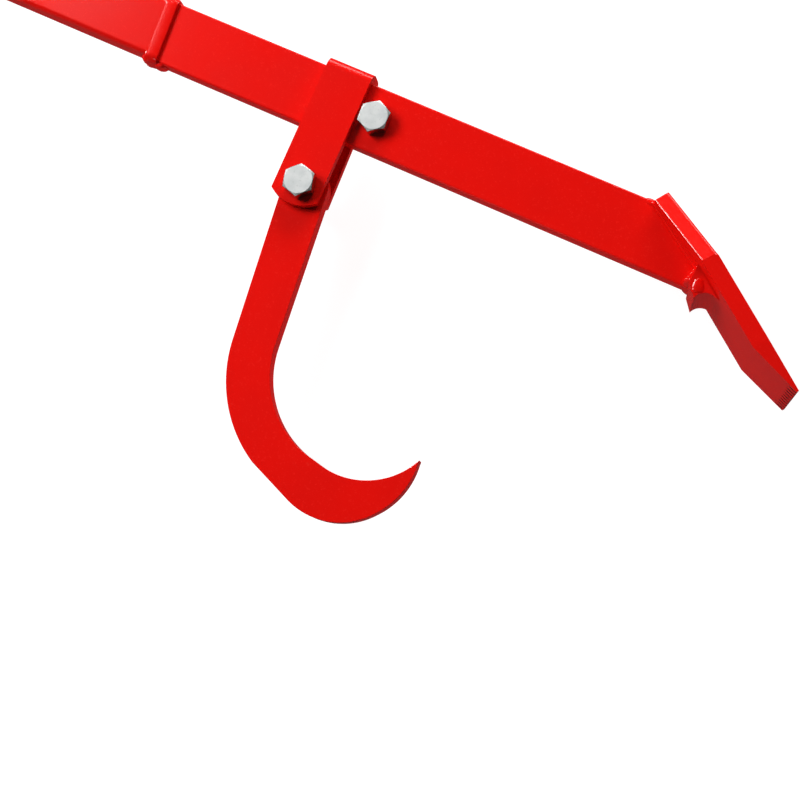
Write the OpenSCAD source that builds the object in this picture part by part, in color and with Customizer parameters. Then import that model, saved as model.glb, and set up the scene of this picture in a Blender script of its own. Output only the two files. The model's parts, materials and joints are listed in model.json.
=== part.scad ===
// Felling lever with a sliding strap and a swinging cant hook, in millimetres.
// X runs along the lever to the foot's tip, Y runs across the bar to the side where the foot's
// upper end stands, and Z points to the side of the bolt heads. The stop bolt is at X = Y = 0.

/* [Bar and tube] */
// Whole length, from the end of the grip to the tip of the foot
lever_l = 1300; // [1200:10:1500]
// Width of the flat steel bar
bar_w = 40; // [38:1:42]
// Thickness of the bar and of the hook
plate_t = 10; // [9:0.5:11]
// Rounding of the bar's long edges
bar_edge_r = 1.2; // [0.5:0.1:2]
// Distance from the stop bolt back to the joint of bar and tube
joint_back = 149; // [147:1:170]
// Height of the tube, across the bar
tube_w = 38; // [36:1:38]
// Depth of the tube
tube_h = 15; // [14:0.5:16]
// Wall of the tube
tube_wall = 2; // [1.5:0.5:3]
// Outer corner radius of the tube
tube_corner_r = 3; // [3:0.5:5]
// Radius of the bead around the joint
joint_bead_r = 4.6; // [4:0.2:5]
// Slant of the bead around the joint, in degrees
joint_slant = 6.4; // [0:0.2:8]

/* [Grip] */
// Length of the rubber sleeve
grip_l = 140; // [110:5:160]
// Wall of the rubber sleeve
grip_wall = 3.2; // [2.5:0.1:4]
// Thickness of the sleeve's closed end
grip_end_t = 5; // [4:0.5:8]
// Height of the ribs and of the rim above the sleeve
grip_rib_h = 1.2; // [0.8:0.1:1.6]
// Number of ribs
grip_ribs = 14; // [8:1:16]

/* [Foot] */
// Distance from the stop bolt to the bend on the foot's upper side
bend_x = 219.6; // [214:0.2:226]
// Height of that bend above the middle of the bar
bend_y = -1.8; // [-3:0.1:-1]
// Thickness of the forged plate
foot_t = 9.6; // [9:0.1:10.5]
// Length of the plate above the bend
upper_l = 48.7; // [46:0.1:52]
// Slope of the plate above the bend, in degrees
upper_slope = 34.3; // [33:0.1:35.5]
// Slope of the tongue below the bend, in degrees
tongue_slope = 36.6; // [35.5:0.1:39]
// Length of the tongue
tongue_l = 88.4; // [80:0.2:105]
// Length of the bevel under the tongue
bevel_l = 32.4; // [28:0.2:38]
// Thickness left at the tip
tip_t = 1.4; // [1.2:0.1:2]
// Width of the plate's upper end
upper_w = 28; // [24:0.5:34]
// Width of the plate from the bend to the bevel
foot_w = 66.6; // [62:0.2:70]
// Width of the tip
tip_w = 63.8; // [60:0.2:66]
// Width of the heel block
heel_w = 38; // [35:0.5:41]
// Radius of the notch between spur and tongue
notch_r = 8; // [7.6:0.1:8.4]
// Number of grooves across the tip
grooves = 10; // [8:1:10]
// Length of a groove
groove_l = 6.5; // [5:0.5:8]
// Depth of a groove at the tip
groove_depth = 0.9; // [0.6:0.1:0.9]
// Radius of the bead around the foot's joint
foot_bead_r = 3.6; // [3.2:0.1:4.2]

/* [Strap and hook] */
// Width of the strap
strap_w = 30; // [28:0.5:31]
// Thickness of the strap
strap_t = 4.8; // [4:0.1:5]
// Play between the strap and a face of the bar or the hook
strap_play = 0.4; // [0.3:0.05:0.5]
// Distance from the stop bolt back to the pivot
pivot_back = 22.6; // [22:0.2:24]
// Distance from the middle of the bar down to the pivot
pivot_drop = 55; // [52:0.5:60]
// Lean of the strap's sides against the bar, in degrees
strap_lean = 2.5; // [2:0.1:3]
// Lean of the back ear's sides against the bar, in degrees
back_ear_lean = 4.2; // [3.5:0.1:4.3]
// Distance from the front ear's end to the pivot
ear_end = 13.8; // [13:0.2:16]
// Radius of the ears' ends
ear_end_r = 23.5; // [20:0.5:28]
// How much shorter the back ear is
back_ear_short = 3; // [0:0.5:3]
// Swing of the hook from the square to the bar, in degrees
hook_swing = 8.3; // [0:0.1:12]

/* [Fasteners] */
// Diameter of both bolts
bolt_d = 12; // [10:1:12]
// Radial clearance of a bolt in its bore
bolt_play = 0.08; // [0.05:0.01:0.1]
// Width across flats of heads and nuts
hex_af = 18; // [17:1:18]
// Height of a bolt head
head_h = 7.5; // [7:0.1:8]
// Height of a lock nut
nut_h = 12; // [11:0.5:12]
// Thickness of a washer
washer_t = 2; // [1.5:0.5:2.5]
// Outer diameter of a washer
washer_d = 20; // [20:0.5:21]
// Length of thread that stands out of a nut
bolt_over = 4; // [3:0.5:5]

/* [Hidden] */
$fn = 64;
over = 1;
bead_end_swell = 1.04;
bead_cap_t = 2.8;
run_lead = 2.2;
run_lift = 0.03;
fillet_steps = 12;
joint_bead_in_y = 0.6;
joint_bead_in_z = 3.5;
joint_x = -joint_back;
pivot = [-pivot_back, -pivot_drop];

// Foot, seen from the side: s runs along a slope from the bend, d goes down into the plate
function along(a, s) = s * [cos(a), sin(a)];
function under(a, d) = d * [sin(a), -cos(a)];
function arc(centre, r, a0, a1, n) = [for (i = [0:n]) centre + along(a0 + (a1 - a0) * i / n, r)];
bend = [bend_x, bend_y];
function on_upper(s, d) = bend + along(-upper_slope, s) + under(-upper_slope, d);
function on_tongue(s, d) = bend + along(-tongue_slope, s) + under(-tongue_slope, d);
bend_mitre = on_upper(-foot_t * tan((tongue_slope - upper_slope) / 2), foot_t);
foot_end = on_upper(-upper_l, 0);
foot_end_low = on_upper(-upper_l, foot_t);
tip = on_tongue(tongue_l, 0);
bevel_s = tongue_l - bevel_l;
bevel_slope = atan((foot_t - tip_t) / bevel_l);
function seam_y(x) = foot_end_low.y - (x - foot_end_low.x) * tan(upper_slope);
function seam_x(y) = foot_end_low.x - (y - foot_end_low.y) / tan(upper_slope);

// Heel block, its spur and the notch behind the tongue
heel_before_bend = 7.4;
heel_x = bend_x - heel_before_bend;
spur_root = [heel_x, -bar_w / 2];
notch_s = 21;
notch_below = 9.1;
notch_centre = on_tongue(notch_s, foot_t + notch_below);
notch_run_s = 22.3;
notch_run_a = 75;
notch_spur_a = 162;
heel_bead_l = 5.8;
heel_bead_inset = 0.5;
heel_bead_h = heel_w / 2 - plate_t / 2 - heel_bead_inset;

// Grooves across the tip
groove_pitch = 6.2;
groove_half = 1.5;

// Hook outline in its own frame, with the pivot at the origin and the shank along -Y
shank_back = -12.1;
shank_front = 16;
eye_centre = [(shank_front + shank_back) / 2, 0];
eye_r = (shank_front - shank_back) / 2;
bow_centre = [71.5, -100.4];
bow_r = 82.5;
bow_span = [180, 235];
belly_centre = [72.4, -144.5];
belly_r = 43.8;
belly_span = [241, 314];
throat_centre = [75.8, -98.1];
throat_r = 60.6;
throat_span = [248, 180];
mouth_centre = [79.2, -114.2];
mouth_r = 46.3;
mouth_span = [326.5, 251.5];
beak_centre = [71.5, -141];
beak_r = 46.95;
beak_span = [313, 361];
hook_tip = [118.6, -138.4];

// Strap
slot_half = plate_t / 2 + strap_play;
strap_half = slot_half + strap_t;
fold_gap = 0.3;
slot_top = bar_w / 2 + fold_gap;
strap_top = slot_top + strap_t;
fold_inner_r = 1.5;
fold_outer_r = fold_inner_r + strap_t;
fold_rise = slot_top + pivot_drop;
fold_back = 1;
fold_point = [-fold_back - fold_rise * tan(strap_lean), fold_rise];

// Fasteners
bore_d = bolt_d + 2 * bolt_play;
head_chamfer_d = hex_af * 0.95;
chamfer_slope = 30;
washer_play = 0.5;
stop_stack = plate_t + washer_t;
pivot_stack = 2 * strap_half + washer_t;
nut_hex_h = 8.6;
nut_collar_d = 16.4;
insert_d = 14.4;
insert_h = 2.6;
insert_play = 0.05;
nut_lip = 0.6;
stop_head_turn = 34.3;
pivot_head_turn = 45.7;
stop_nut_turn = 34;
pivot_nut_turn = 50;
end_chamfer = 1.2;

// Handle end
grip_end_x = tip.x - lever_l;
tube_end_x = grip_end_x + grip_end_t;
rib_pitch = 8;
rib_w = 4;
rim_w = 6;

// The whole lever's box, for the frame in the middle of its underside
belly_y = pivot.y + belly_centre.x * sin(hook_swing) + belly_centre.y * cos(hook_swing) - belly_r;
top_y = max(foot_end.y, strap_top);
frame_shift = [-(tip.x + grip_end_x) / 2, -(top_y + belly_y) / 2, foot_w / 2];

steel_red = [0.85, 0.08, 0.04];
zinc = [0.78, 0.8, 0.8];
rubber_black = [0.09, 0.09, 0.09];
nylon_blue = [0.2, 0.35, 0.6];

// Node to build, or all

// Common shapes

module rounded_rect(w, h, r) {
    square([w - 2 * r, h], center = true);
    square([w, h - 2 * r], center = true);
    for (x = [-1, 1], y = [-1, 1])
        translate([x * (w / 2 - r), y * (h / 2 - r)])
            circle(r);
}

// Rounded bar along X, from x0 to x1
module beam(x0, x1, w, h, r) {
    translate([x0, 0, 0])
        rotate([90, 0, 90])
            linear_extrude(x1 - x0)
                rounded_rect(w, h, r);
}

// Weld bead between two points, with round ends that stand slightly proud of it
module bead(p, q, r) {
    d = q - p;
    l = norm(d);
    for (end = [p, q])
        translate(end)
            sphere(r * bead_end_swell);
    translate(p)
        rotate([0, acos(d.z / l), atan2(d.y, d.x)])
            cylinder(r = r, h = l);
}

// Profile that turns a hexagon's end corners off at 30 degrees
module corner_turning(h) {
    r = hex_af / 2 / cos(30) + over;
    drop = (r - head_chamfer_d / 2) * tan(chamfer_slope);
    rotate_extrude()
        polygon([[0, 0], [r, 0], [r, h - drop], [head_chamfer_d / 2, h], [0, h]]);
}

module hexagon(h) {
    intersection() {
        cylinder(d = hex_af / cos(30), h = h, $fn = 6);
        corner_turning(h);
    }
}

// Bolt with its head on Z = 0 and its shank below
module bolt(stack, head_turn) {
    r = bolt_d / 2;
    end_z = -stack - nut_h - bolt_over;
    rotate([0, 0, head_turn])
        hexagon(head_h);
    rotate_extrude()
        polygon([[0, end_z], [r - end_chamfer, end_z], [r, end_z + end_chamfer], [r, over], [0, over]]);
}

// Washer whose upper face is at Z = 0
module washer() {
    translate([0, 0, -washer_t])
        difference() {
            cylinder(d = washer_d, h = washer_t);
            translate([0, 0, -over])
                cylinder(d = bolt_d + 2 * washer_play, h = washer_t + 2 * over);
        }
}

// Lock nut that hangs down from Z = 0, with a collar around its insert
module lock_nut() {
    mirror([0, 0, 1])
        difference() {
            union() {
                hexagon(nut_hex_h);
                cylinder(d = nut_collar_d, h = nut_h);
            }
            translate([0, 0, -over])
                cylinder(d = bore_d, h = nut_h + 2 * over);
            translate([0, 0, nut_h - nut_lip - insert_h])
                cylinder(d = insert_d, h = insert_h);
        }
}

module nut_insert() {
    h = insert_h - 2 * insert_play;
    mirror([0, 0, 1])
        translate([0, 0, nut_h - nut_lip - insert_h + insert_play])
            difference() {
                cylinder(d = insert_d - 2 * insert_play, h = h);
                translate([0, 0, -over])
                    cylinder(d = bore_d, h = h + 2 * over);
            }
}

// Steel shapes of the lever

module bar_body() {
    difference() {
        beam(joint_x, bend_x + bar_w, bar_w, plate_t, bar_edge_r);
        translate([0, 0, -plate_t])
            linear_extrude(2 * plate_t)
                polygon([[seam_x(bar_w), bar_w], [heel_x, seam_y(heel_x)], [heel_x, -bar_w],
                    [bend_x + 2 * bar_w, -bar_w], [bend_x + 2 * bar_w, bar_w]]);
    }
}

// Plate seen square to the tongue, with s = 0 at the bend
module plate_plan() {
    right = [[-upper_l, upper_w / 2], [0, foot_w / 2], [bevel_s, foot_w / 2],
        [tongue_l, tip_w / 2], [tongue_l + over, tip_w / 2]];
    left = [for (i = [len(right) - 1:-1:0]) [right[i].x, -right[i].y]];
    polygon(concat([[-2 * upper_l, upper_w / 2]], right, left, [[-2 * upper_l, -upper_w / 2]]));
}

module plate_side() {
    polygon([foot_end, bend, tip, on_tongue(tongue_l, tip_t), on_tongue(bevel_s, foot_t), bend_mitre,
        foot_end_low]);
}

module heel_side() {
    polygon(concat([on_tongue(notch_run_s, foot_t)],
        arc(notch_centre, notch_r, notch_run_a, notch_spur_a, 20),
        [spur_root, [heel_x, seam_y(heel_x)], on_upper(-over, over), on_tongue(notch_run_s, over)]));
}

// Groove under the tip, deepest at the tip's edge
module groove() {
    translate([0, groove_depth, 0])
        rotate([0, 0, atan(groove_depth / groove_l)])
            translate([-groove_l - over, 0, 0])
                rotate([90, 0, 90])
                    linear_extrude(groove_l + 3 * over)
                        polygon([[0, 0], [-2 * groove_depth, 2 * groove_half],
                            [-2 * groove_depth, -2 * groove_half]]);
}

module foot_body() {
    intersection() {
        linear_extrude(2 * tip_w, center = true)
            plate_side();
        translate([bend.x, bend.y, 0])
            rotate([0, 0, -tongue_slope])
                rotate([90, 0, 0])
                    linear_extrude(2 * bar_w, center = true)
                        plate_plan();
    }
    linear_extrude(heel_w, center = true)
        heel_side();
}

// Nodes

module lever_bar() {
    translate(frame_shift)
        color(steel_red)
            difference() {
                bar_body();
                cylinder(d = bore_d, h = 2 * plate_t, center = true);
            }
}

module handle_tube() {
    inner_r = tube_corner_r - tube_wall;
    translate(frame_shift)
        color(steel_red)
            difference() {
                beam(tube_end_x, joint_x, tube_w, tube_h, tube_corner_r);
                beam(tube_end_x - over, joint_x + over, tube_w - 2 * tube_wall,
                    tube_h - 2 * tube_wall, inner_r);
            }
}

module tube_weld() {
    half_y = tube_w / 2 - joint_bead_in_y;
    half_z = tube_h / 2 - joint_bead_in_z;
    translate(frame_shift)
        color(steel_red)
            difference() {
                translate([joint_x, 0, 0])
                    rotate([0, 0, joint_slant])
                        for (s = [-1, 1]) {
                            bead([0, -half_y, s * half_z], [0, half_y, s * half_z], joint_bead_r);
                            bead([0, s * half_y, -half_z], [0, s * half_y, half_z], joint_bead_r);
                        }
                bar_body();
                beam(joint_x - bar_w, joint_x, tube_w, tube_h, tube_corner_r);
            }
}

module grip_sleeve() {
    w = tube_w + 2 * grip_wall;
    h = tube_h + 2 * grip_wall;
    r = tube_corner_r + grip_wall;
    rib = 2 * grip_rib_h;
    translate(frame_shift)
        color(rubber_black)
            difference() {
                union() {
                    beam(grip_end_x, grip_end_x + grip_l, w, h, r);
                    beam(grip_end_x + grip_l - rim_w, grip_end_x + grip_l, w + rib, h + rib,
                        r + grip_rib_h);
                    for (i = [1:grip_ribs])
                        translate([grip_end_x + i * rib_pitch, 0, 0])
                            beam(-rib_w / 2, rib_w / 2, w + rib, h + rib, r + grip_rib_h);
                }
                beam(tube_end_x, grip_end_x + grip_l + over, tube_w, tube_h, tube_corner_r);
            }
}

module foot_plate() {
    translate(frame_shift)
        color(steel_red)
            difference() {
                foot_body();
                translate([bend.x, bend.y, 0])
                    rotate([0, 0, -tongue_slope])
                        translate([tongue_l, -tip_t, 0])
                            rotate([0, 0, bevel_slope])
                                for (i = [0:grooves - 1])
                                    translate([0, 0, (i - (grooves - 1) / 2) * groove_pitch])
                                        groove();
            }
}

module bead_sector(p, a0, a1) {
    polygon(concat([p], arc(p, foot_bead_r, a0, a1, fillet_steps)));
}

// Round-faced fillet on both faces of the bar, along the joint from p at an angle, that reaches
// w across the face and h up from it. The runs stand off the bar by different lifts, so that no
// two of their flat sides fall in one plane.
module fillet_run(p, angle, l, w, h, lift) {
    for (side = [0, 1])
        translate([p.x, p.y, 0])
            rotate([0, 0, angle])
                mirror([0, 0, side])
                    translate([0, 0, plate_t / 2 + lift])
                        rotate([90, 0, 90])
                            linear_extrude(l)
                                polygon(concat([[0, 0]],
                                    [for (i = [0:fillet_steps])
                                        [-w * sin(90 * i / fillet_steps),
                                            h * cos(90 * i / fillet_steps)]]));
}

// Round-faced fillet from a0 to a1 through the bar's thickness, in the corner at p, with caps
// from c0 to c1 that grow into the runs on both faces
module corner_fillet(p, a0, a1, c0, c1) {
    linear_extrude(plate_t, center = true)
        bead_sector(p, a0, a1);
    for (side = [0, 1])
        mirror([0, 0, side])
            translate([0, 0, plate_t / 2])
                linear_extrude(bead_cap_t)
                    bead_sector(p, c0, c1);
}

module foot_weld() {
    translate(frame_shift)
        color(steel_red) {
            fillet_run(on_upper(-upper_l - run_lead, foot_t), -upper_slope,
                norm([heel_x, seam_y(heel_x)] - foot_end_low) + run_lead, foot_bead_r,
                foot_bead_r, run_lift);
            fillet_run([heel_x, seam_y(heel_x)], -90, seam_y(heel_x) - spur_root.y, heel_bead_l,
                heel_bead_h, 2 * run_lift);
            corner_fillet(foot_end_low, 90 - upper_slope, 180 - upper_slope,
                90 - upper_slope, 240 - upper_slope);
        }
}

module stop_bolt() {
    translate(frame_shift)
        color(zinc)
            translate([0, 0, plate_t / 2])
                bolt(stop_stack, stop_head_turn);
}

module stop_washer() {
    translate(frame_shift)
        color(zinc)
            translate([0, 0, -plate_t / 2])
                washer();
}

module stop_nut() {
    translate(frame_shift)
        color(zinc)
            translate([0, 0, plate_t / 2 - stop_stack])
                rotate([0, 0, stop_nut_turn])
                    lock_nut();
}

module stop_nut_insert() {
    translate(frame_shift)
        color(nylon_blue)
            translate([0, 0, plate_t / 2 - stop_stack])
                nut_insert();
}

// Section of the fold, open downward, with its rounded end at the given height
module arch(half, top, r) {
    low = pivot.y - 2 * ear_end_r;
    translate([low, -half])
        square([top - r - low, 2 * half]);
    translate([low, r - half])
        square([top - low, 2 * (half - r)]);
    for (s = [-1, 1])
        translate([top - r, s * (half - r)])
            circle(r);
}

// Outline of an ear about the pivot, whose sides lean from the fold on down
module ear_outline(end, lean) {
    half = strap_w / 2 / cos(strap_lean);
    low = -fold_rise - 2 * end;
    function side(x, y, a) = [x - y * tan(a), y];
    translate(fold_point)
        intersection() {
            polygon([side(-half, bar_w, strap_lean), side(half, bar_w, strap_lean), [half, 0],
                side(half, low, lean), side(-half, low, lean), [-half, 0]]);
            rotate(lean)
                translate([0, ear_end_r - end - fold_rise]) {
                    circle(ear_end_r);
                    translate([-strap_w, 0])
                        square([2 * strap_w, 2 * fold_rise]);
                }
        }
}

module hook_strap() {
    translate(frame_shift)
        color(steel_red)
            difference() {
                intersection() {
                    translate([pivot.x - strap_w, 0, 0])
                        rotate([90, 0, 90])
                            linear_extrude(2 * strap_w)
                                difference() {
                                    arch(strap_half, strap_top, fold_outer_r);
                                    arch(slot_half, slot_top, fold_inner_r);
                                }
                    translate(pivot)
                        union() {
                            linear_extrude(strap_half + over)
                                ear_outline(ear_end, strap_lean);
                            mirror([0, 0, 1])
                                linear_extrude(strap_half + over)
                                    ear_outline(ear_end - back_ear_short, back_ear_lean);
                        }
                }
                translate(pivot)
                    cylinder(d = bore_d, h = 4 * strap_half, center = true);
            }
}

module pivot_bolt() {
    translate(frame_shift)
        color(zinc)
            translate([pivot.x, pivot.y, strap_half])
                bolt(pivot_stack, pivot_head_turn);
}

module pivot_washer() {
    translate(frame_shift)
        color(zinc)
            translate([pivot.x, pivot.y, -strap_half])
                washer();
}

module pivot_nut() {
    translate(frame_shift)
        color(zinc)
            translate([pivot.x, pivot.y, strap_half - pivot_stack])
                rotate([0, 0, pivot_nut_turn])
                    lock_nut();
}

module pivot_nut_insert() {
    translate(frame_shift)
        color(nylon_blue)
            translate([pivot.x, pivot.y, strap_half - pivot_stack])
                nut_insert();
}

module hook_outline() {
    polygon(concat(
        arc(eye_centre, eye_r, 0, 180, 24),
        arc(bow_centre, bow_r, bow_span[0], bow_span[1], 20),
        arc(belly_centre, belly_r, belly_span[0], belly_span[1], 24),
        arc(beak_centre, beak_r, beak_span[0], beak_span[1], 18),
        [hook_tip],
        arc(mouth_centre, mouth_r, mouth_span[0], mouth_span[1], 24),
        arc(throat_centre, throat_r, throat_span[0], throat_span[1], 22)));
}

module cant_hook() {
    translate(frame_shift)
        color(steel_red)
            translate(pivot)
                rotate([0, 0, hook_swing])
                    linear_extrude(plate_t, center = true)
                        difference() {
                            hook_outline();
                            circle(d = bore_d);
                        }
}

lever_bar();
handle_tube();
tube_weld();
grip_sleeve();
foot_plate();
foot_weld();
stop_bolt();
stop_washer();
stop_nut();
stop_nut_insert();
hook_strap();
pivot_bolt();
pivot_washer();
pivot_nut();
pivot_nut_insert();
cant_hook();
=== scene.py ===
"""Looks of the felling lever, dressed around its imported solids.

Places and sizes are written in millimetres, and MM turns them into Blender's metres. Lamps and
the floor, which aren't part of the lever, are written in metres.
"""

import json
import math

import bmesh
import bpy
from mathutils import Matrix, Vector, noise

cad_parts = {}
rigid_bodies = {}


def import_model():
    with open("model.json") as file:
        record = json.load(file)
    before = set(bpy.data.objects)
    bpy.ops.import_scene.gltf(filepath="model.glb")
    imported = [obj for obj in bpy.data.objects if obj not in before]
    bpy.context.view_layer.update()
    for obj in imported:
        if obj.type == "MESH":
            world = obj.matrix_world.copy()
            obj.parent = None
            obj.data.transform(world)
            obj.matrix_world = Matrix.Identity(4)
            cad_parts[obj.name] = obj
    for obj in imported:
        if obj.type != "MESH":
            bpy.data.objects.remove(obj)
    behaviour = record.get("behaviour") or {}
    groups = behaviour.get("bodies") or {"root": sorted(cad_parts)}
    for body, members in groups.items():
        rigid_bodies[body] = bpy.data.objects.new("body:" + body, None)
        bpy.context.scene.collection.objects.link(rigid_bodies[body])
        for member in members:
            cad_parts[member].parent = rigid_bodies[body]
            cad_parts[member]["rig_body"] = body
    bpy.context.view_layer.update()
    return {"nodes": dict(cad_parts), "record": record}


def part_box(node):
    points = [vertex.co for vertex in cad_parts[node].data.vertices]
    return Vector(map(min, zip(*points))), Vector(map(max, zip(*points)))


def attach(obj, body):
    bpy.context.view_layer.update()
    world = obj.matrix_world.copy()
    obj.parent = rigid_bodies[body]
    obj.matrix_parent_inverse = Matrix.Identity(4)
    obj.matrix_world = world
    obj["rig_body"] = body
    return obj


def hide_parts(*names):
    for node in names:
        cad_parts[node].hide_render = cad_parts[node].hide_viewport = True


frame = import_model()

MM = 0.001
MERGE_GAP = 0.002                # corners of a solid's triangles that lie closer are one corner
FLAT_ANGLE = math.radians(0.3)   # triangles that turn less than this are one flat face
EASED_ANGLE = math.radians(32)   # edges that turn further than this are eased
CREASE_ANGLE = math.radians(20)  # edges that turn further than this are shaded sharp


# Places, read from the solids

def middle(node):
    low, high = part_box(node)
    return (low + high) / 2


STOP = Vector((middle("stop_bolt").x, middle("stop_bolt").y, middle("lever_bar").z))
BAR_END = Vector((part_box("lever_bar")[0].x, STOP.y, STOP.z))


def at(x, y, z=0.0):
    """A place given in millimetres from the stop bolt, in the bar's middle plane."""
    return STOP + Vector((x, y, z)) * MM


# Shader maths

class Socket:
    """A shader value that can be added, subtracted, multiplied and compared like a number."""

    def __init__(self, paint, link):
        self.paint = paint
        self.link = link

    def _math(self, operation, first, second):
        return self.paint.node("ShaderNodeMath", {"operation": operation}, {0: first, 1: second})

    def __add__(self, other):
        return self._math("ADD", self, other)

    def __sub__(self, other):
        return self._math("SUBTRACT", self, other)

    def __mul__(self, other):
        return self._math("MULTIPLY", self, other)

    def __lt__(self, other):
        return self._math("LESS_THAN", self, other)

    # The same four with a plain number on the left

    __radd__ = __add__
    __rmul__ = __mul__

    def __rsub__(self, other):
        return self._math("SUBTRACT", other, self)

    def __gt__(self, other):
        return self._math("GREATER_THAN", self, other)


class Paint:
    """A material that is written as expressions on its sockets."""

    def __init__(self, name):
        self.material = bpy.data.materials.new(name)
        self.material.use_nodes = True
        self.nodes = self.material.node_tree.nodes
        self.links = self.material.node_tree.links
        self.shader = self.nodes["Principled BSDF"]
        self.place = self.node("ShaderNodeTexCoord", output="Object")
        self.normal = self.node("ShaderNodeTexCoord", output="Normal")

    def node(self, kind, settings=None, inputs=None, output=0):
        made = self.nodes.new(kind)
        for key, value in (settings or {}).items():
            setattr(made, key, value)
        for key, value in (inputs or {}).items():
            self.feed(made.inputs[key], value)
        return Socket(self, made.outputs[output])

    def feed(self, target, value):
        if isinstance(value, Socket):
            self.links.new(value.link, target)
        else:
            target.default_value = value

    def part(self, vector, letter):
        """The X, Y or Z of a vector. Places are in metres."""
        return self.node("ShaderNodeSeparateXYZ", None, {"Vector": vector},
                         output="XYZ".index(letter))

    def noise(self, scale, detail):
        return self.node("ShaderNodeTexNoise", None, {
            "Vector": self.place, "Scale": scale, "Detail": detail})

    def ramp(self, value, low, high):
        """0 up to low, 1 from high on, and even between them."""
        return self.node("ShaderNodeMapRange", None, {
            "Value": value, "From Min": low, "From Max": high})

    def mix(self, share, first, second):
        return self.node("ShaderNodeMix", {"data_type": "RGBA"},
                         {0: share, 6: first, 7: second}, output=2)

    def bump(self, height, distance, strength, below=None):
        """A relief as high as distance, in millimetres, laid over the one below."""
        inputs = {"Height": height, "Distance": distance * MM, "Strength": strength}
        if below:
            inputs["Normal"] = below
        return self.node("ShaderNodeBump", None, inputs)

    def finish(self, **values):
        for key, value in values.items():
            self.feed(self.shader.inputs[key.replace("_", " ").title()], value)
        return self.material


# Finishes

RED = (0.80, 0.0042, 0.0018, 1.0)
RED_DEEP = (0.70, 0.0036, 0.0016, 1.0)
RED_FLECK = (0.86, 0.016, 0.010, 1.0)
# Painted shade, near black, for the bottoms of the grooves under the foot's tip
GROOVE_SHADE_RED = (0.07, 0.001, 0.001, 1.0)
ZINC = (0.54, 0.565, 0.56, 1.0)
ZINC_PALE = (0.66, 0.675, 0.665, 1.0)
ZINC_SPOT = (0.40, 0.42, 0.41, 1.0)
RUBBER = (0.012, 0.012, 0.012, 1.0)
RUBBER_BLOOM = (0.026, 0.026, 0.027, 1.0)
RUBBER_SCUFF = (0.060, 0.058, 0.056, 1.0)
NYLON = (0.02, 0.08, 0.32, 1.0)
NYLON_PALE = (0.03, 0.11, 0.40, 1.0)
FLOOR_GREY = (0.20, 0.20, 0.20, 1.0)
WHITE = (1.0, 1.0, 1.0, 1.0)

GROOVE_PITCH = 6.2      # from groove to groove across the foot's tip
GROOVES_FROM = 283.9    # where the grooves start, along the bar from the stop bolt
GROOVES_FADE = 2.0
GROOVE_WALL = (0.58, 0.72)      # from a groove's wall to its bottom, in half pitches
FACES_DOWN = -0.3       # a normal whose Y is below this is on the foot's underside
PARTING_LINE = 0.35     # half the width of the line that the mould leaves on the grip


def painted_groove_shade(paint):
    """1 at the bottoms of the grooves under the foot's tip, which are painted dark as shade."""
    half_pitch = GROOVE_PITCH / 2 * MM
    from_ridge = paint.node("ShaderNodeMath", {"operation": "PINGPONG"}, {
        0: paint.part(paint.place, "Z") - STOP.z, 1: half_pitch})
    bottom = paint.ramp(from_ridge, *[share * half_pitch for share in GROOVE_WALL])
    underside = paint.part(paint.normal, "Y") < FACES_DOWN
    tip = paint.ramp(paint.part(paint.place, "X"),
                     at(GROOVES_FROM, 0).x, at(GROOVES_FROM + GROOVES_FADE, 0).x)
    return bottom * underside * tip


def red_powder_coat():
    """A glossy red coat with a fine orange peel, slow clouds, small paler flecks and painted
    shade in the grooves under the foot's tip.
    """
    paint = Paint("red_powder_coat")
    cloud = paint.ramp(paint.noise(scale=22.0, detail=3.0), low=0.35, high=0.7)
    fleck = paint.ramp(paint.noise(scale=900.0, detail=1.0), low=0.62, high=0.74)
    peel = paint.noise(scale=420.0, detail=2.0)
    colour = paint.mix(cloud * 0.5, RED, RED_DEEP)
    colour = paint.mix(fleck * 0.6, colour, RED_FLECK)
    # Painted shade: the groove bottoms under the foot's tip are mixed toward near black
    colour = paint.mix(painted_groove_shade(paint), colour, GROOVE_SHADE_RED)
    return paint.finish(base_color=colour, roughness=0.17 + cloud * 0.03 + fleck * 0.05,
                        normal=paint.bump(peel, distance=0.02, strength=0.35))


def zinc_plate():
    """Dull light grey on faces that lie flat, and bright metal on chamfers and sides."""
    paint = Paint("zinc_plated_steel")
    upright = paint.part(paint.normal, "Z")
    flat = paint.ramp(upright * upright, low=0.55, high=0.97)
    cloud = paint.ramp(paint.noise(scale=160.0, detail=3.0), low=0.3, high=0.7)
    spot = paint.ramp(paint.noise(scale=520.0, detail=2.0), low=0.60, high=0.72)
    grain = paint.noise(scale=1500.0, detail=2.0)
    colour = paint.mix(cloud, ZINC, ZINC_PALE)
    colour = paint.mix(spot * 0.4, colour, ZINC_SPOT)
    return paint.finish(base_color=colour,
                        roughness=0.14 + flat * (0.36 + cloud * 0.1) + spot * 0.08,
                        normal=paint.bump(grain + spot * 0.6, distance=0.04, strength=0.35),
                        metallic=1.0 - flat * 0.88)


def black_rubber():
    """Dull black rubber with a grey bloom, a few scuffs and the line of its mould."""
    paint = Paint("black_rubber")
    grain = paint.noise(scale=1100.0, detail=3.0)
    bloom = paint.ramp(paint.noise(scale=35.0, detail=3.0), low=0.4, high=0.75)
    scuff = paint.ramp(paint.noise(scale=260.0, detail=4.0), low=0.66, high=0.74)
    colour = paint.mix(bloom, RUBBER, RUBBER_BLOOM)
    colour = paint.mix(scuff * 0.5, colour, RUBBER_SCUFF)
    from_middle = paint.part(paint.place, "Z") - STOP.z
    parting = (from_middle * from_middle) < (PARTING_LINE * MM) ** 2
    relief = paint.bump(grain, distance=0.06, strength=0.5)
    relief = paint.bump(parting, distance=0.1, strength=0.5, below=relief)
    return paint.finish(base_color=colour, roughness=0.55 + bloom * 0.15 - scuff * 0.05,
                        normal=relief)


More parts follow.
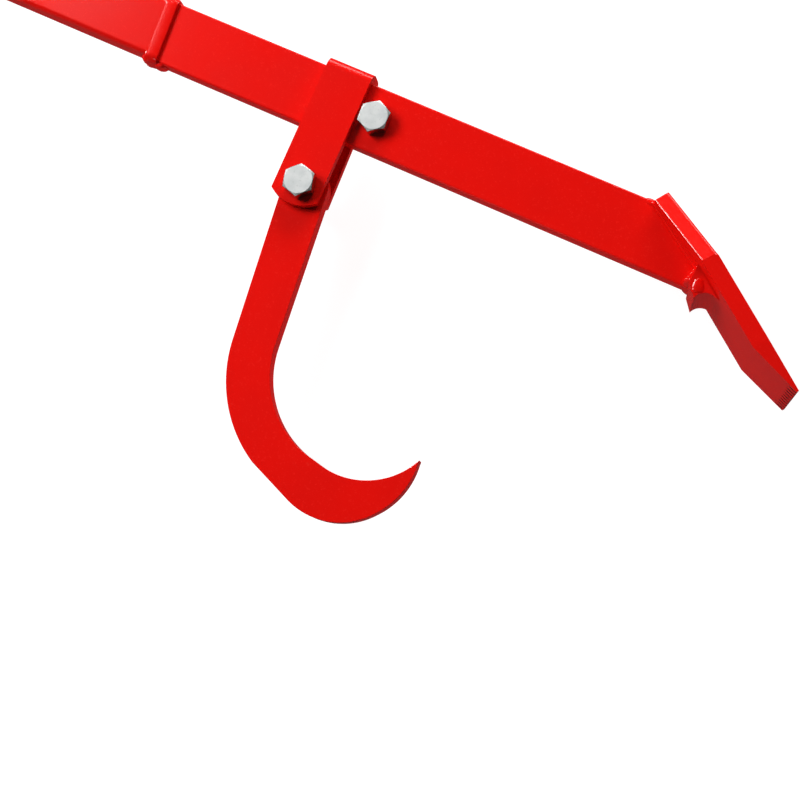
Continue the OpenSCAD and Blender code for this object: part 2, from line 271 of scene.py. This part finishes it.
def blue_nylon():
    paint = Paint("blue_nylon")
    grain = paint.noise(scale=900.0, detail=2.0)
    return paint.finish(base_color=paint.mix(grain, NYLON, NYLON_PALE), roughness=0.42,
                        normal=paint.bump(grain, distance=0.04, strength=0.4))


FINISHES = {"red_powder_coat": red_powder_coat(), "zinc_plated_steel": zinc_plate(),
            "black_rubber": black_rubber(), "blue_nylon": blue_nylon()}
SLOT_OF = {entry["node"]: entry["material_slot"] for entry in frame["record"]["subparts"]}


# Pieces with eased edges, made from copies of the solids

def add_piece(name, maker, node):
    """A new piece in a solid's place, on the solid's body and in its finish."""
    body, slot = frame["nodes"][node]["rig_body"], SLOT_OF[node]
    mesh = bpy.data.meshes.new(name)
    maker.to_mesh(mesh)
    maker.free()
    mesh.materials.append(FINISHES[slot])
    piece = bpy.data.objects.new(name, mesh)
    bpy.context.scene.collection.objects.link(piece)
    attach(piece, body)
    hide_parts(node)
    return piece


def merged_copy(node):
    """A copy of a solid's loose triangles, merged into whole flat faces."""
    copy = bmesh.new()
    copy.from_mesh(frame["nodes"][node].data)
    bmesh.ops.remove_doubles(copy, verts=copy.verts, dist=MERGE_GAP * MM)
    bmesh.ops.dissolve_limit(copy, angle_limit=FLAT_ANGLE, verts=copy.verts, edges=copy.edges)
    return copy


def ease_edges(piece, width, segments=2):
    bevel = piece.modifiers.new("edge", "BEVEL")
    bevel.width = width * MM
    bevel.segments = segments
    bevel.limit_method = "ANGLE"
    bevel.angle_limit = EASED_ANGLE
    shade_creased(piece)


def shade_creased(piece):
    """Shades rounded edges smooth, flat faces flat and creases sharp."""
    flat = piece.modifiers.new("flat faces", "WEIGHTED_NORMAL")
    flat.keep_sharp = True
    piece.data.shade_smooth()
    piece.data.set_sharp_from_angle(angle=CREASE_ANGLE)


def eased(node, width, segments=2):
    ease_edges(add_piece(node + "_eased", merged_copy(node), node), width, segments)


FOOT_BEND = 222.0       # where the foot bends, along the bar from the stop bolt
FOOT_SIDE = 13.0        # the foot's sides are further than this from the bar's middle plane
FOOT_LONG_EDGE = 12.0   # shorter edges stay as the solid has them
FOOT_CHAMFER = (1.1, 2)     # width and segments, below
FOOT_ROUNDING = (1.8, 5)    # the same on top


def forged_foot():
    """The foot, with a chamfer below and a wide rounding on top, along its sides to the bend."""
    copy = merged_copy("foot_plate")
    below, above = [], []
    for edge in copy.edges:
        turn = edge.calc_face_angle_signed(0.0)
        if turn < EASED_ANGLE or edge.calc_length() < FOOT_LONG_EDGE * MM:
            continue
        first, last = [vert.co - STOP for vert in edge.verts]
        on_one_side = first.z * last.z > (FOOT_SIDE * MM) ** 2
        if on_one_side and max(first.x, last.x) < FOOT_BEND * MM:
            facing = sum((face.normal for face in edge.link_faces), Vector())
            (below if facing.x < 0 else above).append(edge)
    for edges, (width, segments) in ((below, FOOT_CHAMFER), (above, FOOT_ROUNDING)):
        bmesh.ops.bevel(copy, geom=edges, offset=width * MM, offset_type="OFFSET",
                        segments=segments, profile=0.5, affect="EDGES", clamp_overlap=False,
                        material=-1)
    bmesh.ops.dissolve_degenerate(copy, dist=0.01 * MM, edges=copy.edges)
    bmesh.ops.connect_verts_concave(copy, faces=copy.faces)
    shade_creased(add_piece("foot_forged", copy, "foot_plate"))


# Weld beads, swept ring by ring

OUT = Vector((0, 0, 1))     # out of the bar's front face
RIPPLE_PITCH = 2.2          # from crescent to crescent of a bead
RIPPLE_HEIGHT = 0.035       # as a share of the bead
LUMP_SIZE = 5.0
BEAD_SIDES = 20
BEAD_STEP = 0.5             # from ring to ring
END_LENGTH = 2.4            # a bead's end is rounded over this length
END_START = 0.12            # how far into that rounding its first ring lies


def station(place, across, up, width, height):
    """The place of one ring, whose half axes along across and up are width and height."""
    ahead = across.cross(up)
    axes = Matrix((across * (width * MM), up * (height * MM), ahead)).transposed()
    return Matrix.Translation(place) @ axes.to_4x4()


def sweep(maker, stations, sides, closed=False, fullness=1.0):
    """Joins one ring at each station. A fullness below 1 squares the rings' corners."""
    loops = []
    for index, ring in enumerate(stations):
        end = not closed and index in (0, len(stations) - 1)
        verts = bmesh.ops.create_circle(maker, cap_ends=end, segments=sides, radius=1.0)["verts"]
        for vert in verts:
            vert.co.x = math.copysign(abs(vert.co.x) ** fullness, vert.co.x)
            vert.co.y = math.copysign(abs(vert.co.y) ** fullness, vert.co.y)
        bmesh.ops.transform(maker, matrix=ring, verts=verts)
        loops.append(list({edge for vert in verts for edge in vert.link_edges}))
    following = loops[1:] + loops[:1] if closed else loops[1:]
    for first, second in zip(loops, following):
        bmesh.ops.bridge_loops(maker, edges=first + second)


def ripple(length, pitch):
    """Height of a weld's ripples, as overlapping crescents."""
    return abs(math.sin(math.pi * length / pitch))


def rough(place, size):
    """A smooth unevenness between about -1 and 1, with lumps of a size in millimetres."""
    return noise.noise(place / (size * MM))


def bead_run(maker, first, last, across, up, sizes, lumps, step=BEAD_STEP):
    """One bead with rounded ends, from first to last, in millimetres from the stop bolt.

    Sizes are its half width and half height at the first end and at the last one. Lumps say
    how uneven it is.
    """
    count = round((last - first).length / step)
    rings = []
    for i in range(count + 1):
        spot = first.lerp(last, i / count)
        width, height = [a + (b - a) * (i / count) for a, b in zip(*sizes)]
        rise = min(1.0, (min(i, count - i) * step + END_START) / END_LENGTH)
        ripples = RIPPLE_HEIGHT * ripple(i * step, RIPPLE_PITCH)
        uneven = ripples + lumps / 4 * rough(spot * MM, LUMP_SIZE)
        swell = math.sqrt(rise * (2 - rise)) * (1 + uneven)
        rings.append(station(at(*spot), across, up, width * swell, height * swell))
    sweep(maker, rings, BEAD_SIDES)


def add_weld(name, maker, node):
    bmesh.ops.recalc_face_normals(maker, faces=maker.faces)
    add_piece(name, maker, node).data.shade_smooth()


JOINT_SLANT = math.radians(6.4)     # the tube's end is cut this far off square
TO_BAR = Vector((math.cos(JOINT_SLANT), math.sin(JOINT_SLANT), 0))
UP_JOINT = Vector((-math.sin(JOINT_SLANT), math.cos(JOINT_SLANT), 0))
JOINT_HALF = (18.4, 4.0)    # half the height and thickness of the line that the collar follows
JOINT_CORNER = 1.6          # radius of that line's corners
CORNER_TURNS = range(0, 91, 15)     # degrees from the start of a corner
COLLAR_STEP = 0.45
COLLAR_SIDES = 32
COLLAR_FULLNESS = 0.5
COLLAR_RISE = 3.55          # half sizes of the collar, outward and along the bar
COLLAR_WIDTH = 2.9
COLLAR_AHEAD = 0.2          # how far it sits past the joint, toward the foot
COARSE_HEIGHT = 0.7         # of the ripples over the bar's upper edge
COARSE_PITCH = 1.5
SAG_UNDER = 0.4             # how far the collar hangs under the bar, and how unevenly
SAG_UNEVEN = 0.6
PROUD_ABOVE = 0.1           # how far it stands out over the bar
CROWN_LIFT = 3.08           # the thin crown on the collar makes its outside flat
CROWN_RISE = 0.55
CROWN_OVERHANG = 1.5
CROWN_BACK = 1.2            # how far it sits back on the tube
OTHER_LUMPS = Vector((0.03, 0, 0))  # reads the unevenness 30 mm away, in metres
SAGS = (((-150.6, -19.2, -6.4), (-150.2, -19.4, 6.2), (4.4, 3.3)),     # first, last, sizes
        ((-142.2, -20.3, -4.2), (-142.0, -20.5, 4.4), (4.2, 2.3)))


def joint_line():
    """Places round the joint of tube and bar, in millimetres, and the way out at each."""
    top, front = [half - JOINT_CORNER for half in JOINT_HALF]
    corners = ((top, front), (-top, front), (-top, -front), (top, -front))
    line = []
    for index, (up, out) in enumerate(corners):
        for turn in CORNER_TURNS:
            angle = math.radians(90 * index + turn)
            outward = UP_JOINT * math.cos(angle) + OUT * math.sin(angle)
            line.append((UP_JOINT * up + OUT * out + outward * JOINT_CORNER, outward))
        first, outward = line[-1]
        next_up, next_out = corners[(index + 1) % 4]
        last = UP_JOINT * next_up + OUT * next_out + outward * JOINT_CORNER
        count = round((last - first).length / COLLAR_STEP)
        line += [(first.lerp(last, i / count), outward) for i in range(1, count)]
    return line


def tube_weld():
    """The collar of weld round the end of the tube, coarse on top and sagging below."""
    maker = bmesh.new()
    collar, crown = [], []
    for count, (place, outward) in enumerate(joint_line(), start=1):
        length = count * COLLAR_STEP
        spot = BAR_END + place * MM
        on_top = max(0.0, outward.dot(UP_JOINT))
        under = max(0.0, -outward.dot(UP_JOINT))
        rise = COLLAR_RISE + on_top * COARSE_HEIGHT * ripple(length, COARSE_PITCH)
        width = COLLAR_WIDTH + 0.12 * rough(spot, 7.0)
        sag = SAG_UNDER + SAG_UNEVEN * rough(spot + OTHER_LUMPS, 3.0)
        push = under * sag + on_top * PROUD_ABOVE
        collar.append(station(spot + (outward * push + TO_BAR * COLLAR_AHEAD) * MM,
                              outward, TO_BAR, rise, width))
        lift = CROWN_LIFT + 0.05 * rough(spot, 6.0) + 0.03 * ripple(length, RIPPLE_PITCH) + push
        crown.append(station(spot + (outward * lift - TO_BAR * CROWN_BACK) * MM,
                             outward, TO_BAR, CROWN_RISE, width + CROWN_OVERHANG))
    sweep(maker, collar, COLLAR_SIDES, closed=True, fullness=COLLAR_FULLNESS)
    sweep(maker, crown, COLLAR_SIDES, closed=True)
    for first, last, size in SAGS:
        bead_run(maker, Vector(first), Vector(last), TO_BAR, UP_JOINT, (size, size), lumps=0.7)
    add_weld("tube_weld_bead", maker, "tube_weld")


BAR_HALF = 5.0              # half the bar's thickness
BEAD_TOP = Vector((173.96, 17.71, 0))       # where the bar's upper edge meets the foot
HEEL_TOP = Vector((212.2, -8.4, 0))         # where the bar's end meets the heel
HEEL_LOW = Vector((212.2, -19.6, 0))        # where the bar's lower edge does
FRONT_ROOT = 0.9            # half sizes of the long beads in front and behind
BACK_ROOT = 3.4
PAST_TOP = 2.5              # how far the long beads run past their ends
PAST_HEEL = 1.5
BACKWARD = Vector((-1, 0, 0))
UPWARD = Vector((0, 1, 0))


def foot_weld():
    """The beads between bar and foot: down both faces, over the heel, and round the top."""
    maker = bmesh.new()
    down = (HEEL_TOP - BEAD_TOP).normalized()
    across = Vector((down.y, -down.x, 0))
    for face, root in ((1, FRONT_ROOT), (-1, BACK_ROOT)):
        out = Vector((0, 0, face))
        lift = Vector((0, 0, BAR_HALF * face))
        bead_run(maker, BEAD_TOP - down * PAST_TOP + lift, HEEL_TOP + down * PAST_HEEL + lift,
                 across, out, ((root, root), (root, root)), lumps=0.1)
        bead_run(maker, HEEL_TOP + UPWARD * PAST_HEEL + lift, HEEL_LOW + lift,
                 BACKWARD, out, ((2.4, 5.2), (5.4, 13.0)), lumps=0.2)
    # The lump at the heel's front corner
    bead_run(maker, Vector((216.0, -15.0, 17.9)), Vector((218.6, -24.2, 17.9)),
             Vector((-0.96, -0.28, 0)), OUT, ((3.2, 1.6), (4.0, 1.9)), lumps=0.9)
    # The bead over the bar's upper edge
    bead_run(maker, BEAD_TOP + Vector((-2.6, 0.4, -5.6)), BEAD_TOP + Vector((-2.6, 0.4, 5.2)),
             BACKWARD, UPWARD, ((5.2, 3.3), (5.4, 3.3)), lumps=1.3, step=0.4)
    add_weld("foot_weld_bead", maker, "foot_weld")


# Bolts with threads

THREAD_PITCH = 1.75
THREAD_STEPS = 32           # rings in one turn
THREAD_RISE = 1.1           # half sizes of the ridge, outward and along the bolt
THREAD_WIDTH = 0.84
THREAD_MIDDLE = 4.75        # how far it lies from the axis
THREAD_GAIN = 0.1           # what that gains as the thread comes to its full size
THREAD_FROM = 0.95          # its start above the bolt's end
THREAD_FADE = 0.4           # its size at the start, as a share of its full size
TURNS_SHORT = 0.75          # it ends this many turns short of the plain shank
INTO_NUT = 1.2              # how deep in the nut the plain shank ends
OVERLAP = 0.4               # how far the core reaches into that shank
CORE_STEPS = ((5.1, 1.0), (4.2, 0.0))       # radius, and distance from the bolt's end
CORE_SIDES = 48
THREAD_EASING = 0.16


def bolt(node, nut):
    """The bolt, whose plain end below the nut gives way to a threaded one with a stepped tip."""
    end_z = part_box(node)[0].z
    cut_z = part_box(nut)[0].z + INTO_NUT * MM
    axis = Vector((middle(node).x, middle(node).y, 0))
    copy = merged_copy(node)
    cut = bmesh.ops.bisect_plane(copy, geom=copy.verts[:] + copy.edges[:] + copy.faces[:],
                                 plane_co=(0, 0, cut_z), plane_no=(0, 0, -1), clear_outer=True)
    rim = [item for item in cut["geom_cut"] if isinstance(item, bmesh.types.BMEdge)]
    bmesh.ops.edgenet_fill(copy, edges=rim)
    for radius, from_end in CORE_STEPS:
        top, low = cut_z + OVERLAP * MM, end_z + from_end * MM
        place = Matrix.Translation(axis + OUT * ((top + low) / 2))
        bmesh.ops.create_cone(copy, cap_ends=True, segments=CORE_SIDES, radius1=radius * MM,
                              radius2=radius * MM, depth=top - low, matrix=place)
    rings = []
    turns = (cut_z - end_z) / (THREAD_PITCH * MM) - TURNS_SHORT
    for i in range(int(turns * THREAD_STEPS)):
        turned = i / THREAD_STEPS
        angle = 2 * math.pi * turned
        outward = Vector((math.cos(angle), math.sin(angle), 0))
        fade = min(1.0, THREAD_FADE + turned)
        place = (axis + outward * (THREAD_MIDDLE + THREAD_GAIN * fade) * MM
                 + OUT * (end_z + (THREAD_FROM + THREAD_PITCH * turned) * MM))
        rings.append(station(place, outward, OUT, THREAD_RISE * fade, THREAD_WIDTH * fade))
    sweep(copy, rings, 4)
    ease_edges(add_piece(node + "_threaded", copy, node), THREAD_EASING)


# The lever, piece by piece, with the width of each piece's eased edges

eased("lever_bar", 0.3)
eased("handle_tube", 0.2)
forged_foot()
eased("hook_strap", 0.6, segments=3)
eased("cant_hook", 0.2)
eased("grip_sleeve", 0.5)
tube_weld()
foot_weld()
bolt("stop_bolt", "stop_nut")
bolt("pivot_bolt", "pivot_nut")
for node in ("stop_nut", "pivot_nut", "stop_washer", "pivot_washer"):
    eased(node, 0.25)
for node in ("stop_nut_insert", "pivot_nut_insert"):
    carried = frame["nodes"][node]
    carried.data.materials.clear()
    carried.data.materials.append(FINISHES[SLOT_OF[node]])


# Floor, light and camera

CAMERA_PLACE = (251.3, -223.7, 813.4)
CAMERA_TURN = (9.689, 7.922, 26.061)
PICTURE_MIDDLE = at(100, -60)
FLOOR_HALF = 4.0            # half its width


def floor():
    """A pale floor with a glow of its own, which glossy faces don't mirror."""
    maker = bmesh.new()
    bmesh.ops.create_grid(maker, x_segments=1, y_segments=1, size=FLOOR_HALF)
    mesh = bpy.data.meshes.new("floor")
    maker.to_mesh(mesh)
    maker.free()
    ground = bpy.data.objects.new("floor", mesh)
    bpy.context.scene.collection.objects.link(ground)
    mesh.materials.append(Paint("pale_floor").finish(
        base_color=FLOOR_GREY, roughness=0.9, emission_color=WHITE, emission_strength=0.95))
    ground.visible_glossy = False


def softbox(name, bearing, rise, distance, size, power, diffuse=True, glossy=True):
    """A lamp that faces the lever.

    Its bearing is in degrees from the picture's right, and its rise in degrees over the floor.
    """
    data = bpy.data.lights.new(name, "AREA")
    data.shape = "RECTANGLE"
    data.size, data.size_y = size
    data.energy = power
    lamp = bpy.data.objects.new(name, data)
    bpy.context.scene.collection.objects.link(lamp)
    turn = math.radians(bearing + CAMERA_TURN[2])
    lift = math.radians(rise)
    away = Vector((math.cos(turn) * math.cos(lift), math.sin(turn) * math.cos(lift),
                   math.sin(lift)))
    lamp.location = PICTURE_MIDDLE + away * distance
    lamp.rotation_euler = away.to_track_quat("Z", "Y").to_euler()
    lamp.visible_camera = False
    lamp.visible_diffuse = diffuse
    lamp.visible_glossy = glossy


floor()

# Two lamps light the coat, and three only shine on it
softbox("softbox_key", 146, 42, distance=2.6, size=(1.4, 1.1), power=68, glossy=False)
softbox("softbox_back", 72, 20, distance=2.6, size=(2.2, 1.0), power=68, glossy=False)
softbox("shine_back", 78, 14, distance=2.6, size=(1.9, 0.8), power=16, diffuse=False)
softbox("shine_left", 136, 32, distance=2.4, size=(1.3, 0.5), power=64, diffuse=False)
softbox("shine_corner", 229, 45, distance=2.4, size=(0.4, 0.4), power=1.5, diffuse=False)

world = bpy.data.worlds.new("studio")
bpy.context.scene.world = world
world.use_nodes = True
world.node_tree.nodes["Background"].inputs["Color"].default_value = WHITE
world.node_tree.nodes["Background"].inputs["Strength"].default_value = 0.04

camera_data = bpy.data.cameras.new("camera")
camera_data.lens = 64.0
camera_data.sensor_width = 36.0
camera_data.clip_start = 0.01
camera = bpy.data.objects.new("camera", camera_data)
bpy.context.scene.collection.objects.link(camera)
camera.location = at(*CAMERA_PLACE)
camera.rotation_euler = [math.radians(angle) for angle in CAMERA_TURN]
bpy.context.scene.camera = camera
bpy.context.scene.view_settings.view_transform = "Standard"
